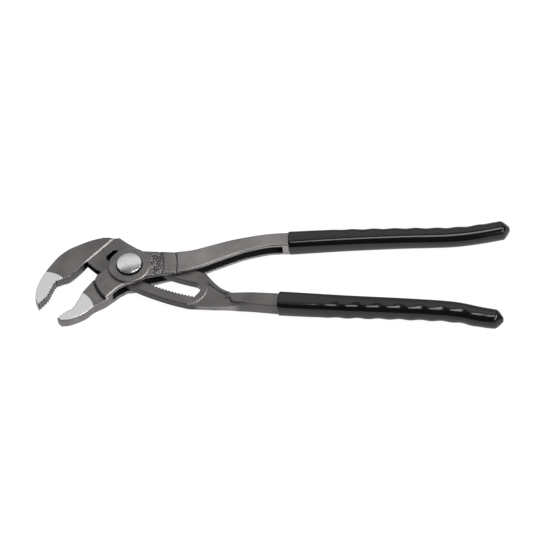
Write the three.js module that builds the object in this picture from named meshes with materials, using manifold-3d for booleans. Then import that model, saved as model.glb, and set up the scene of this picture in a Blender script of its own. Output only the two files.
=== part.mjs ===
// Water pump pliers with a push button: two forged arms, an arc slot with a rack, dipped grips.
// Millimetres, +Z up. The pliers lie on their back: the pivot axis is Z, the jaws point to -X.
import * as THREE from 'three';
import { mergeVertices } from 'three/addons/utils/BufferGeometryUtils.js';
import Module from 'manifold-3d';

// Thicknesses across the tool
const bossThickness = 11;
const shankThickness = 10.2;
const handleThickness = 9;
const jawThickness = 6;
const armThickness = 4.6;
const innerHandleThickness = 8;
const gripThickness = 10.9;
const tangThickness = 6.4;
const handleEndWidth = 8;
const handleBevel = 0.8;

// Fits: each side of a moving piece, round a piece that is slipped or pressed on, and short of a stop
const runningGap = 0.3;
const seatGap = 0.3;
const stopGap = 0.1;

// The adjusting arc: its centre lies at this distance and direction from the pivot
const arcRadius = 119;
const arcDirection = 58.7;
const slotWidth = 7.6;
const slotBefore = 11;
const slotAfter = 36;
const rackPitch = 0.85;
const rackDepth = 0.9;
const rackHeight = 1.8;
const rackFirst = -5;
const rackLast = 19;
const relief = 0.3;

// Pivot, button and lock
const bossDiameter = 21.7;
const buttonDiameter = 13;
const buttonRim = 1.4;
const buttonDome = 1.3;
const buttonRoof = 0.5;
const buttonTravel = 2;
const skirtWall = 1.5;
const stemDiameter = 3;
const neckDiameter = 6.2;
const journalDiameter = 10.2;
const flangeThickness = 1.2;
const blockLength = 8;
const frontLip = 0.9;
const sleeveBore = 4.4;
const hubDiameter = 3.8;
const pegDiameter = 1.8;
const plugThickness = 1;
const keyTeeth = 3;
const ringThickness = 0.4;
const ringWidth = 1.6;
const ringOpening = 70;
const ringGroove = 0.5;
const springWire = 0.5;
const springTurns = 4;

// Grips and the tangs inside them
const gripWidth = 10.2;
const gripWaist = 9.3;
const tailWidth = 8.8;
const tailRound = 3;
const gripWall = 1.9;
const tangLead = 4;
const lipGap = 0.6;
const fingerPitch = 11;
const fingerDepth = 0.5;

// Jaw teeth
const jawPitch = 1.8;
const jawDepth = 0.8;

// Outer arm: box joint, seen from the front
const boxOutline = [
  [-10.6, -1.4], [-16.5, -7.8], [-16.7, -11.2], [-14.7, -15.5], [-12.8, -18.4], [-10.9, -20.3],
  [-4.75, -13.9], [1.3, -10], [6.4, -7.7], [11.5, -6.3], [17, -5.1], [25, -4.4], [25, 8.9], [10.3, 9], [6, 9],
];
const bridgeWall = [[-16.6, -8.5], [-8.2, -16.9]];
// Outer arm: the handle's two edges, and where its channel starts and ends
const handleTop = [[22, 9], [31.9, 10.4], [41.4, 13.4], [51.5, 16.7], [62, 19.2], [72.4, 21]];
const handleBottom = [[22, -4.6], [29.6, -3.2], [37.1, -0.5], [46, 3.6], [55, 7.6], [61, 10], [72, 13]];
const channelStart = 25;
const channelEnd = 79;
const channelWeb = 2;
// Outer arm: the lower jaw, from its neck round its tip and back to the box
const lowerNeck = [[-13, -8], [-18.3, -9.3], [-23.2, -15.9]];
const lowerPipeTeeth = [[-24.3, -17.7], [-25.5, -20.6], [-27.2, -24.9]];
const lowerTipTeeth = [[-27.9, -25.8], [-32.7, -29.2], [-35.3, -32.2]];
const lowerBack = [[-33.5, -33.9], [-28.4, -33], [-21.7, -29.2], [-16.9, -25.6], [-10.7, -21.4], [-9, -18]];

// Inner arm: the upper jaw, from its back over the nose to the throat
const upperBack = [[-15.7, 19], [-21.8, 17], [-27.6, 14.2], [-33, 11.2], [-38.3, 5.9], [-43.7, -2.8], [-46.3, -8.1],
  [-47.9, -14.1], [-48, -21]];
const upperTipTeeth = [[-46.5, -24.6], [-42.2, -18.4], [-38.9, -9.6]];
const upperPipeTeeth = [[-38.5, -8.9], [-35.4, -7.4], [-31.7, -6.2], [-27.8, -2.4], [-24.6, 1.6]];
// Inner arm: the thin arm, as distance along the arc and out from it
const headStep = -20.5;
const headStepFrom = -8.6;
const headStepTo = 10.6;
const armRoot = [[-25, 8], [-25, -4]];
const armBack = [[-18.6, -11.6], [-9, -12.2], [6, -13], [20, -12.8], [34, -12.6], [40.5, -11.9]];
const armFront = [[-19.5, 10.6], [-10.8, 10.8], [2, 9.4], [16, 8.9], [28, 9], [38, 9]];
const armHeelTop = [[44.1, -8.9], [48.6, -13.4], [54, -16.2]];
const armHeelBottom = [[54, -23.2], [44.2, -23.3]];
// Inner arm: the lower handle's centre line, as place, width and share of the full thickness
const innerHandle = [[47, -18.8, 7, 0.6], [52, -19.6, 6.8, 0.72], [58, -19.8, 6.7, 0.9], [66, -20, 7, 1]];

// Grips: centre lines from the lip to the tail
const upperGripLine = [[82, 17.6], [111.3, 19.3], [140, 20.7], [166.1, 21.5], [181.7, 23.6], [196.6, 26.8]];
const lowerGripLine = [[79.4, -21.1], [114.4, -23.4], [143.3, -24.7], [169.6, -26.5], [185.6, -29.8], [196.9, -31.4]];

// Each handle ends at its grip's lip
handleTop.push([upperGripLine[0][0] - lipGap, upperGripLine[0][1] + handleEndWidth / 2]);
handleBottom.push([upperGripLine[0][0] - lipGap, upperGripLine[0][1] - handleEndWidth / 2]);
innerHandle.push([lowerGripLine[0][0] - lipGap, lowerGripLine[0][1], handleEndWidth, 1]);

// Heights that several pieces share
const middle = bossThickness / 2;
const passage = armThickness + 2 * runningGap;
const armTop = middle + armThickness / 2;
const armBottom = middle - armThickness / 2;
const lipTop = middle + passage / 2 + frontLip;
const rackFloor = armTop - rackHeight;
const keyTop = armTop - stopGap;
const keyBottom = rackFloor + stopGap;
const skirtBottom = lipTop + stopGap + buttonTravel;
const roofBottom = bossThickness + buttonRim - buttonRoof;
const neckTop = roofBottom - buttonTravel - stopGap;
const ringBottom = lipTop + stopGap;

// The adjusting arc's centre, and a length that reaches past every edge
const arcCentre = new THREE.Vector2(arcRadius, 0).rotateAround(new THREE.Vector2(), radians(arcDirection));
const far = 2 * arcRadius;

const wasm = await Module();
wasm.setup();

function radians(degrees) {
  return THREE.MathUtils.degToRad(degrees);
}

// A point at a distance along the adjusting arc from the pivot, and out from it away from its centre
function onArc(along, out) {
  const turn = radians(180 + arcDirection) + along / arcRadius;
  const reach = arcRadius + out;
  return [arcCentre.x + reach * Math.cos(turn), arcCentre.y + reach * Math.sin(turn)];
}

// Turns a closed three.js geometry into a solid, with its faces pointing out
function solid(geometry) {
  const bare = geometry.index ? geometry.toNonIndexed() : geometry.clone();
  bare.deleteAttribute('normal');
  bare.deleteAttribute('uv');
  const merged = mergeVertices(bare, 1e-4);
  const position = merged.attributes.position;
  const corners = [];
  let volume = 0;
  const [a, b, c] = [new THREE.Vector3(), new THREE.Vector3(), new THREE.Vector3()];
  for (let i = 0; i < merged.index.count; i += 3) {
    const [p, q, r] = [0, 1, 2].map((k) => merged.index.getX(i + k));
    if (p === q || q === r || p === r) continue;
    corners.push([p, q, r]);
    a.fromBufferAttribute(position, p);
    b.fromBufferAttribute(position, q);
    c.fromBufferAttribute(position, r);
    volume += a.dot(b.cross(c));
  }
  const triVerts = new Uint32Array(corners.flatMap(([p, q, r]) => (volume < 0 ? [p, r, q] : [p, q, r])));
  const vertProperties = new Float32Array(position.array);
  return new wasm.Manifold(new wasm.Mesh({ numProp: 3, vertProperties, triVerts }));
}

function toMesh(name, body, material) {
  const { vertProperties, triVerts } = body.getMesh();
  const geometry = new THREE.BufferGeometry();
  geometry.setAttribute('position', new THREE.BufferAttribute(new Float32Array(vertProperties), 3));
  geometry.setIndex(new THREE.BufferAttribute(new Uint32Array(triVerts), 1));
  geometry.computeVertexNormals();
  const mesh = new THREE.Mesh(geometry, material);
  mesh.name = name;
  return mesh;
}

// A smooth line through a few points
function smooth(points, steps) {
  return new THREE.SplineCurve(points.map(([x, y]) => new THREE.Vector2(x, y)))
    .getPoints(steps)
    .map((p) => [p.x, p.y]);
}

// An outline extruded between two heights, with its edges bevelled by the given size
function slab(outline, bottom, top, bevel = 0) {
  const shape = new THREE.Shape(outline.map(([x, y]) => new THREE.Vector2(x, y)));
  const geometry = new THREE.ExtrudeGeometry(shape, {
    depth: top - bottom - 2 * bevel,
    bevelEnabled: bevel > 0,
    bevelThickness: bevel,
    bevelSize: bevel,
    bevelOffset: -bevel,
    bevelSegments: 1,
  });
  return solid(geometry.translate(0, 0, bottom + bevel));
}

// A slab centred on the tool's middle plane
function plate(outline, thickness, bevel = 0) {
  return slab(outline, middle - thickness / 2, middle + thickness / 2, bevel);
}

// A turned piece about the pivot axis: pairs of radius and height, from the axis and back to it
function turned(profile, segments = 40) {
  const points = profile.map(([r, z]) => new THREE.Vector2(r, z));
  return solid(new THREE.LatheGeometry(points, segments).rotateX(Math.PI / 2));
}

function disc(diameter, bottom, top, segments = 40) {
  const r = diameter / 2;
  return turned([[0, bottom], [r, bottom], [r, top], [0, top]], segments);
}

// A row of teeth: a smooth line whose even points are pushed to its left by the depth
function serrated(points, pitch, depth) {
  const curve = new THREE.SplineCurve(points.map(([x, y]) => new THREE.Vector2(x, y)));
  const halves = 2 * Math.max(1, Math.round(curve.getLength() / pitch));
  const row = [];
  for (let i = 0; i <= halves; i += 1) {
    const p = curve.getPointAt(i / halves);
    const t = curve.getTangentAt(i / halves);
    const push = i % 2 ? depth : 0;
    row.push([p.x - t.y * push, p.y + t.x * push]);
  }
  return row;
}

// A bar along a line: each station is a place with its width and thickness, with square-round sections
function bar(stations, { steps = 40, sides = 20, square = 4, inset = () => 0 } = {}) {
  const path = new THREE.CatmullRomCurve3(stations.map(([x, y]) => new THREE.Vector3(x, y, middle)));
  const size = new THREE.CatmullRomCurve3(stations.map((s) => new THREE.Vector3(s[2], s[3], 0)));
  const vertices = [];
  const index = [];
  const ring = (i, k) => i * sides + ((k + sides) % sides);
  for (let i = 0; i <= steps; i += 1) {
    const t = i / steps;
    const place = path.getPoint(t);
    const along = path.getTangent(t);
    const { x: width, y: thickness } = size.getPoint(t);
    for (let k = 0; k < sides; k += 1) {
      const angle = ((k + 0.5) * 2 * Math.PI) / sides;
      const across = Math.sign(Math.cos(angle)) * Math.abs(Math.cos(angle)) ** (2 / square);
      const up = Math.sign(Math.sin(angle)) * Math.abs(Math.sin(angle)) ** (2 / square);
      const reach = (across * width) / 2 - across * inset(place.x, across);
      vertices.push(place.x - along.y * reach, place.y + along.x * reach, place.z + (up * thickness) / 2);
    }
    for (let k = 0; i > 0 && k < sides; k += 1) {
      index.push(ring(i - 1, k), ring(i, k), ring(i, k + 1), ring(i - 1, k), ring(i, k + 1), ring(i - 1, k + 1));
    }
  }
  const ends = [stations[0], stations[stations.length - 1]];
  ends.forEach(([x, y], end) => {
    const hub = vertices.length / 3;
    const row = end * steps;
    vertices.push(x, y, middle);
    for (let k = 0; k < sides; k += 1) {
      index.push(hub, ring(row, end ? k + 1 : k), ring(row, end ? k : k + 1));
    }
  });
  const geometry = new THREE.BufferGeometry();
  geometry.setAttribute('position', new THREE.BufferAttribute(new Float32Array(vertices), 3));
  geometry.setIndex(index);
  return solid(geometry);
}

// The metal tang inside a grip, and with a gap all round the hollow that the grip has for it
function tang(line, gap) {
  const width = gripWidth - 2 * gripWall;
  const [first, ...rest] = line.slice(0, -1);
  const lead = [first[0] - tangLead, first[1]];
  const stations = [lead, first, ...rest].map(([x, y]) => [x, y, width + 2 * gap, tangThickness + 2 * gap]);
  if (gap) {
    const [before, last] = stations.slice(-2);
    const stretch = gap / Math.hypot(last[0] - before[0], last[1] - before[1]);
    last[0] += (last[0] - before[0]) * stretch;
    last[1] += (last[1] - before[1]) * stretch;
  }
  return bar(stations, { steps: 16, sides: 12 });
}

// A dipped grip: finger waves on its outer edge, a rounded tail and a hollow for the tang
function grip(line, outerSide) {
  const last = line.length - 1;
  const [tail, before] = [line[last], line[last - 1]].map(([x, y]) => new THREE.Vector2(x, y));
  const shoulder = before.clone().sub(tail).setLength(tailRound).add(tail);
  const stations = line.map(([x, y], i) => [x, y, i ? gripWaist : gripWidth, gripThickness]);
  stations[last - 1][2] = tailWidth;
  stations[last] = [shoulder.x, shoulder.y, tailWidth, gripThickness - tailRound / 2];
  stations.push([tail.x, tail.y, tailWidth - tailRound, gripThickness - 1.5 * tailRound]);
  const waves = (x, across) => {
    if (across * outerSide < 0) return 0;
    return fingerDepth * (1 + Math.cos((2 * Math.PI * x) / fingerPitch)) / 2;
  };
  const body = bar(stations, { steps: 48, sides: 16, square: 4.5, inset: waves });
  return body.subtract(tang(line, seatGap));
}

// The box joint, channelled handle, tang and lower jaw of the outer arm, with the way for the inner arm
function outerArm() {
  const box = plate(boxOutline, shankThickness);
  const boss = disc(bossDiameter, 0, bossThickness, 64);
  const handle = plate([...smooth(handleTop, 24), ...smooth(handleBottom, 24).reverse()], handleThickness, handleBevel);
  const jaw = plate([
    ...smooth(lowerNeck, 6),
    ...serrated(lowerPipeTeeth, jawPitch, jawDepth),
    ...serrated(lowerTipTeeth, jawPitch, jawDepth),
    ...smooth(lowerBack, 16),
  ], jawThickness);
  const forging = box.add(boss).add(handle).add(tang(upperGripLine, 0)).add(jaw);

  const [upper, lower] = bridgeWall;
  const beyond = ([x, y], [fromX, fromY]) => [x + (x - fromX), y + (y - fromY)];
  const web = smooth(handleTop, 24).filter(([x]) => x > channelStart && x < channelEnd);
  const underWeb = web.map(([x, y]) => [x, y - channelWeb]);
  const way = plate([
    beyond(upper, lower), upper, lower, beyond(lower, upper),
    [channelEnd, -far], [channelEnd, underWeb[underWeb.length - 1][1]],
    ...underWeb.reverse(),
    [channelStart, underWeb[underWeb.length - 1][1]], [channelStart, far], [beyond(upper, lower)[0], far],
  ], passage);

  const counterbore = buttonDiameter + 2 * runningGap;
  return forging.subtract(way)
    .subtract(disc(counterbore, lipTop, far))
    .subtract(disc(neckDiameter + 2 * runningGap, middle, far))
    .subtract(disc(counterbore, -far, flangeThickness + runningGap))
    .subtract(disc(journalDiameter + 2 * runningGap, -far, middle));
}

// Teeth of the rack along the arc: roots at whole pitches, tips between them
function rack(first, last, tip, root) {
  const row = [];
  for (let half = 2 * first - 1; half <= 2 * last + 1; half += 1) {
    const along = radians(half * rackPitch / 2) * arcRadius;
    row.push(onArc(along, half % 2 ? tip : root));
  }
  return row;
}

// The arc slot: an inner wall, round ends, and an outer wall of teeth or plain
function slotOutline(outerWall) {
  const half = slotWidth / 2;
  const end = (centre, from) => [0, 1, 2, 3, 4, 5, 6].map((i) => {
    const turn = radians(from + 30 * i);
    return onArc(centre + half * Math.cos(turn), half * Math.sin(turn));
  });
  const inner = [];
  for (let i = 1; i < 12; i += 1) {
    inner.push(onArc(slotAfter - (slotAfter + slotBefore) * i / 12, -half));
  }
  const rightEnd = end(slotAfter, -90).reverse();
  const leftEnd = end(-slotBefore, 90).reverse();
  return [...outerWall, ...rightEnd, ...inner, ...leftEnd];
}

// The upper jaw, slotted arm, lower handle and tang of the inner arm
function innerArm() {
  const stepTop = onArc(headStep, headStepFrom);
  const stepBottom = onArc(headStep, headStepTo);
  const head = plate([
    stepTop,
    ...smooth(upperBack, 24),
    ...serrated(upperTipTeeth, jawPitch, jawDepth),
    ...serrated(upperPipeTeeth, jawPitch, jawDepth),
    stepBottom,
  ], jawThickness);
  const arm = plate([
    ...armRoot.map((p) => onArc(...p)).reverse(),
    ...smooth(armFront.map((p) => onArc(...p)), 20),
    ...armHeelBottom.slice().reverse(),
    ...smooth([onArc(...armBack[armBack.length - 1]), ...armHeelTop], 10).reverse(),
    ...smooth(armBack.map((p) => onArc(...p)), 20).reverse().slice(1),
  ], armThickness);
  const stations = innerHandle.map(([x, y, width, share]) => [x, y, width, share * innerHandleThickness]);
  const handle = bar(stations, { steps: 20, sides: 16, square: 5 });

  const half = slotWidth / 2;
  const teeth = slotOutline(rack(rackFirst, rackLast, half, half + rackDepth));
  const plain = slotOutline(rack(rackFirst, rackLast, half + rackDepth + relief, half + rackDepth + relief));
  return head.add(arm).add(handle).add(tang(lowerGripLine, 0))
    .subtract(slab(teeth, middle, bossThickness))
    .subtract(slab(plain, 0, rackFloor));
}

// The slide block's outline, square to the arc at the pivot
function blockOutline(from, to, length) {
  return [onArc(-length / 2, from), onArc(length / 2, from), onArc(length / 2, to), onArc(-length / 2, to)];
}

function pivotSleeve() {
  const half = slotWidth / 2 - runningGap;
  const flange = disc(buttonDiameter, 0, flangeThickness);
  const journal = disc(journalDiameter, 0, armBottom - runningGap);
  const block = slab(blockOutline(-half, half, blockLength), flangeThickness, armTop);
  const neck = disc(neckDiameter, middle, neckTop, 32);
  const window = slab(blockOutline(0, 2 * half, keyWidth() + 2 * runningGap),
    keyBottom - buttonTravel - runningGap, keyTop + stopGap / 2);
  const groove = disc(journalDiameter, ringBottom - stopGap / 2, ringBottom + ringThickness + stopGap / 2, 32)
    .subtract(disc(neckDiameter - 2 * ringGroove, middle, bossThickness, 32));
  return flange.add(journal).add(block).add(neck)
    .subtract(disc(sleeveBore, -far, keyTop + stopGap / 2, 32))
    .subtract(disc(stemDiameter + 2 * runningGap, -far, far, 32))
    .subtract(window)
    .subtract(groove);
}

function keyWidth() {
  return radians(keyTeeth * rackPitch) * (arcRadius + slotWidth / 2);
}

function lockingBolt() {
  const reach = slotWidth / 2 + rackDepth - runningGap;
  const side = (keyTeeth - 1) / 2;
  const teeth = rack(-side, side, reach - rackDepth, reach);
  const base = [onArc(keyWidth() / 2, 0), onArc(-keyWidth() / 2, 0)];
  return slab([...teeth, ...base], keyBottom, keyTop)
    .add(disc(hubDiameter, keyBottom, keyTop, 32))
    .subtract(disc(pegDiameter + 2 * seatGap, 0, bossThickness, 24));
}

function pushButton() {
  const r = buttonDiameter / 2;
  const rimTop = bossThickness + buttonRim;
  const domeRadius = (r * r + buttonDome * buttonDome) / (2 * buttonDome);
  const dome = [];
  for (let i = 0; i <= 8; i += 1) {
    const x = r * (1 - i / 8);
    dome.push([x, rimTop + Math.sqrt(domeRadius * domeRadius - x * x) - (domeRadius - buttonDome)]);
  }
  const stemBottom = keyTop + seatGap;
  return turned([
    [0, keyBottom], [pegDiameter / 2, keyBottom], [pegDiameter / 2, stemBottom], [stemDiameter / 2, stemBottom],
    [stemDiameter / 2, roofBottom], [r - skirtWall, roofBottom], [r - skirtWall, skirtBottom], [r, skirtBottom],
    ...dome,
  ]);
}

function rearPlug() {
  return disc(sleeveBore - 2 * seatGap, 0, plugThickness, 32);
}

function retainingRing() {
  const inner = neckDiameter - 2 * ringGroove + 2 * stopGap;
  const whole = disc(inner + 2 * ringWidth, ringBottom, ringBottom + ringThickness);
  const half = radians(ringOpening / 2);
  const gap = [[0, 0], [far, far * Math.tan(half)], [far, -far * Math.tan(half)]];
  return whole.subtract(disc(inner, 0, bossThickness)).subtract(slab(gap, 0, bossThickness));
}

// One unbroken coil from the plug up to the bolt
function returnSpring() {
  const radius = (sleeveBore - springWire) / 2 - runningGap;
  const low = plugThickness + seatGap / 2 + springWire / 2;
  const high = keyBottom - seatGap / 2 - springWire / 2;
  const coil = new THREE.Curve();
  coil.getPoint = (t, target = new THREE.Vector3()) => {
    const turn = 2 * Math.PI * springTurns * t;
    return target.set(radius * Math.cos(turn), radius * Math.sin(turn), low + (high - low) * t);
  };
  const corners = [0, 1, 2, 3, 4].map((k) => new THREE.Vector2(springWire / 2, 0)
    .rotateAround(new THREE.Vector2(), radians(72 * k)));
  const geometry = new THREE.ExtrudeGeometry(new THREE.Shape(corners), {
    steps: springTurns * 8, extrudePath: coil, bevelEnabled: false,
  });
  console.log('gap between the coils of the spring', ((high - low) / springTurns - springWire).toFixed(2), 'mm');
  return solid(geometry);
}

const forged = new THREE.MeshStandardMaterial({ color: 0x5d5854, roughness: 0.5, metalness: 0.9 });
const steel = new THREE.MeshStandardMaterial({ color: 0xb9b9b7, roughness: 0.35, metalness: 1 });
const springSteel = new THREE.MeshStandardMaterial({ color: 0x6a6c70, roughness: 0.4, metalness: 1 });
const plastic = new THREE.MeshStandardMaterial({ color: 0x0e0e0f, roughness: 0.35, metalness: 0 });

const pliers = new THREE.Group();
pliers.add(
  toMesh('outer_arm', outerArm(), forged),
  toMesh('upper_grip', grip(upperGripLine, 1), plastic),
  toMesh('inner_arm', innerArm(), forged),
  toMesh('lower_grip', grip(lowerGripLine, -1), plastic),
  toMesh('pivot_sleeve', pivotSleeve(), steel),
  toMesh('rear_plug', rearPlug(), steel),
  toMesh('retaining_ring', retainingRing(), springSteel),
  toMesh('push_button', pushButton(), steel),
  toMesh('locking_bolt', lockingBolt(), steel),
  toMesh('return_spring', returnSpring(), springSteel),
);

export default pliers;
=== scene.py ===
# Looks of the water pump pliers: forged arms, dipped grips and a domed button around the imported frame.
# Shapes are worked out in millimetres in the frame's own axes, and become metres as they are made.
import math
from itertools import product

import bpy
import numpy as np
from mathutils import Matrix, Vector


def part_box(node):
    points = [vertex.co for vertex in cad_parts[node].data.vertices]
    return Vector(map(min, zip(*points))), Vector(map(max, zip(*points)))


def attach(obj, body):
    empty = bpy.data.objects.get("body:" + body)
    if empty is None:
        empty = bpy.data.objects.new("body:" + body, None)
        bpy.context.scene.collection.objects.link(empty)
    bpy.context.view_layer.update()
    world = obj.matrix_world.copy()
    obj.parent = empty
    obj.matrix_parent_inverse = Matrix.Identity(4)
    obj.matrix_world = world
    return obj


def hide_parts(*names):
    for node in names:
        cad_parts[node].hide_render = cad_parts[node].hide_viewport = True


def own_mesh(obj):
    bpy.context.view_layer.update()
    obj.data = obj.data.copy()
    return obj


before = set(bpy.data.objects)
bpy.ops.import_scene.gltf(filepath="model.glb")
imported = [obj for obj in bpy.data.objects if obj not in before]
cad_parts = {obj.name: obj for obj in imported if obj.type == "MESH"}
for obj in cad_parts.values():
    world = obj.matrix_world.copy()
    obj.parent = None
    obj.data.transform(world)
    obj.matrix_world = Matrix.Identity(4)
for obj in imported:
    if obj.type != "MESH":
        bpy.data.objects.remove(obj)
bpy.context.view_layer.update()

MM = 0.001

# Heights above the tool's middle plane, which lies half the boss above the floor
MIDDLE = 5.5
BOSS_HALF = 5.5
CHEEK_HALF = 5.1
HANDLE_HALF = 4.5
JAW_HALF = 3
ARM_HALF = 2.3
PASSAGE_HALF = 2.6
RACK_FLOOR = 0.5
BORE_FLOOR = 3.5

# How forgings are finished: walls lean in from a parting line that stands out, and edges are bevelled
DRAFT = 0.05
SWELL = 0.3
CHEEK_BEVEL = 0.5
HANDLE_BEVEL = 0.5
JAW_BEVEL = 0.15
STEP_BEVEL = 0.5
ARM_BEVEL = 0.5
RING_BEVEL = 0.4
PARTING_GROOVE = 0.25
PARTING_EDGE = 0.05
CUT_EDGE = 0.12
GROOVE_EDGE = 0.08
BORE_EDGE = 0.2
PANEL_EDGE = 0.4
FILLET = 0.1
TANG_FILLET = 0.2
HEEL_FILLET = 0.6
FAN_FADE = 0.16

# How much lower the ground tips of the jaws lie, and how wide the step down to them is
GROUND_DEPTH = 0.15
GROUND_STEP = 0.3

# Outer arm, seen from the front
BOX = [
    (-10.6, -1.4), (-16.4, -5.8), (-17.4, -8.3), (-17.1, -11.2), (-14.9, -15.5), (-13, -18.4), (-10.9, -20.3),
    (-4.75, -13.9), (1.3, -10), (6.4, -7.7), (11.5, -6.3), (17, -5.1), (27, -4), (27, 9.2), (10.3, 9), (6, 9),
]
BRIDGE = [(-16.6, -8.5), (-8.2, -16.9)]
HANDLE_TOP = [(22, 9), (31.9, 10.4), (41.4, 13.4), (51.5, 16.7), (62, 19.2), (72.4, 21), (82.8, 21.7)]
HANDLE_BOTTOM = [
    (22, -4.6), (29.6, -3), (37.1, -0.2), (46, 3.9), (55, 7.9), (61, 10.2), (72, 13), (82.8, 13.7),
]
CHANNEL = (25, 79)
CHANNEL_WEB = 2
PASSAGE_ROUND = (0.05, 1.5)
PASSAGE_CHANGE = (-5, 4)
FAR = 60
LOWER_NECK = [(-13, -5.5), (-17.7, -7.6), (-20.6, -11.6), (-23.4, -15.8)]
LOWER_PIPE_TEETH = [(-24.3, -17.7), (-25.5, -20.6), (-27.2, -24.9)]
LOWER_TIP_TEETH = [(-27.9, -25.8), (-32.7, -29.2), (-35.3, -32.2)]
LOWER_BACK = [(-33.5, -33.9), (-28.4, -33.1), (-21.5, -29.5), (-17.1, -25.2), (-10.8, -21.2), (-9, -18)]
LOWER_GROUND = ((-31, -28.5), 14.5)

# The boss ring, its groove on one side and its flush shoulder on the other
BOSS_RADIUS = 11.05
GROOVE_TOWARDS = 226
GROOVE_SPAN = 44
GROOVE_ROUND = 0.4
SHOULDER_TOWARDS = 45
SHOULDER_SPAN = 50
SHOULDER_REACH = 13.5
SHOULDER_FADE = 4
BORE_RADIUS = 6.8
NECK_HOLE = 3.4
JOURNAL_HOLE = 5.4
FLANGE_TOP = 1.5

# The stippled panel beside the boss and the handle's own face, both bounded by arcs about the pivot
PANEL_START = 11.6
PANEL_SLANT = 0.19
PANEL_REACH = 17.6
PANEL_TOP = 6.9
PANEL_DEPTH = 0.55
PANEL_GROOVE = 0.72
HANDLE_REACH = 25.2
HANDLE_GROOVE = 0.4
NECK_GROOVE = 0.42
NECK_SHALLOW = (1.2, 1.4)
NECK_SHALLOW_BELOW = (-14, 2)
REAR_INSET = 0.9
REAR_FADE = 1
REAR_END = (18, 12)
CHEEK_FALL = 0.1
CHEEK_LEAD = 1

# Grains of the stipple: how many, where across the panel, how large and how high
GRAINS = 170
GRAIN_SEED = 7
GRAIN_LEAD = 1
GRAIN_PLACES = (-5, 8.4)
GRAIN_SIZES = (0.24, 0.46)
GRAIN_RISES = (0.3, 0.6)
GRAIN_FADE = 0.36

# Inner arm: the adjusting arc, and outlines as distance along it and out from it
ARC_CENTRE = (61.823, 101.681)
ARC_RADIUS = 119
ARC_START = math.radians(238.7)
SLOT_INNER = 4.8
SLOT_OUTER = 3.35
SLOT_TOE = 2.5
SLOT_BEFORE = 15
SLOT_AFTER = 40.8
SLOT_CORNER = 1.9
SLOT_WEB = (3.3, 1.6)
RACK_PITCH = math.radians(0.85)
RACK_DEPTH = 0.95
RACK_RELIEF = 0.3
RACK_TEETH = (-5, 22)
UPPER_BACK = [
    (-15.7, 19.4), (-22, 17.5), (-27.9, 14.7), (-33.4, 11.6), (-38.8, 6.2), (-44.1, -2.6), (-46.5, -8.1),
    (-47.9, -14.1), (-47.9, -20.4),
]
UPPER_TIP_TEETH = [(-46.3, -24), (-42.1, -18.6), (-40.5, -14.2), (-38.8, -9.6)]
UPPER_PIPE_TEETH = [(-38.7, -9.1), (-35.4, -7.6), (-31.7, -5.9), (-28.1, -2.2), (-25.1, 1.7)]
UPPER_GROUND = ((-44.8, -18), 15.4)
THROAT_RELIEF = ((-23.4, 1.5), 1.6)
HEAD_STEP = [(-20.5, -9.7), (-20.5, 10.6)]
HEAD_STEP_NEAR = 1.5
HEAD_STEP_FADE = 1
ARM_ROOT = [(-25, -4), (-25, 8)]
ARM_BACK = [(-18.6, -11.8), (-9, -12.1), (6, -12.5), (20, -12.6), (34, -12.6), (40.5, -11.9)]
ARM_FRONT = [(-19.5, 10.6), (-10.8, 10.8), (2, 9.7), (16, 9.3), (28, 9.4), (38, 9.5)]
HEEL_TOP = [(44.5, -8.6), (49.2, -12.9), (55, -15.6)]
HEEL_BOTTOM = [(54, -24), (44.2, -24.1)]
INNER_HANDLE = [(47, -19), (52, -19.8), (58, -20), (66, -20.2), (80.2, -21.3)]
INNER_HANDLE_WIDTH = [7.6, 7.5, 7.5, 7.6, 8.3]
INNER_HANDLE_HALF = [2.4, 2.9, 3.6, 4, 4]
WEB_PANEL = [
    (41, -8.8), (42.5, -10.2), (47, -13.7), (50, -15.7), (53, -17.2), (54.4, -19.4), (54.7, -20.9),
    (56, -21.9), (60, -22.5), (65, -23.5), (66, -25.5), (44, -25.5), (28, -30),
]
WEB_PAD = ((31.2, -12.5), 10.4)
WEB_DEPTH = 0.45
WEB_CUT_EDGE = 0.15
WEB_RISE = (50.5, -19.3, 0.3, 1.6)
PAD_NOSE = 54.7
PAD_LOW = -21
PAD_SLANT = 3
PAD_FRONT = 10
PAD_TAPER = 0.22

# Jaw teeth: pitch and depth near the tips, and in the finer pipe grip
TIP_TEETH = (1.8, 0.75)
PIPE_TEETH = (1.25, 0.6)

# Grips and the tangs inside them
UPPER_GRIP = [(82, 17.9), (111.3, 19.8), (140, 21), (166.1, 21.7), (181.7, 23.7), (197.3, 27)]
LOWER_GRIP = [(79.4, -21), (114.4, -23.2), (143.3, -24.5), (169.6, -26.3), (185.6, -29.7), (197, -31.4)]
UPPER_WIDTHS = [10.8, 10.6, 10.3, 10.2, 9.9, 9.4]
LOWER_WIDTHS = [11.4, 11.3, 11, 10.7, 10.3, 9.2]
GRIP_STAGES = [0, 0.12, 0.5, 0.8, 1]
GRIP_THICKNESS = [10.6, 10.6, 10.2, 10, 10]
GRIP_ROUND = [3, 3.2, 3.8, 4.2, 4.3]
GRIP_TILT = 5
LOWER_ROLL = 7
TANG_HALF = 3.2
TANG_LEAD = 4
TANG_ROUND = 0.8
SEAT_GAP = 0.3
FINGER_PITCH = 11
UPPER_FINGERS = 0.25
LOWER_FINGERS = 0.34
FINGERS_FROM = (26, 24)
FINGERS_TO = (12, 12)
FINGER_SIDE = (1.6, 2.6)
TAIL_LENGTH = 4
TAIL_TAPER = 3.8
TAIL_POWER = 1.4
GRIP_LEAN = 8
GRIP_RINGS = 260
GRIP_ROUND_LIMIT = 0.46
ROLL_FROM = (20, 40)
HOLLOW_ROUND = 1
HOLLOW_TILT = 1
HOLLOW_STEP = 6

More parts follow.
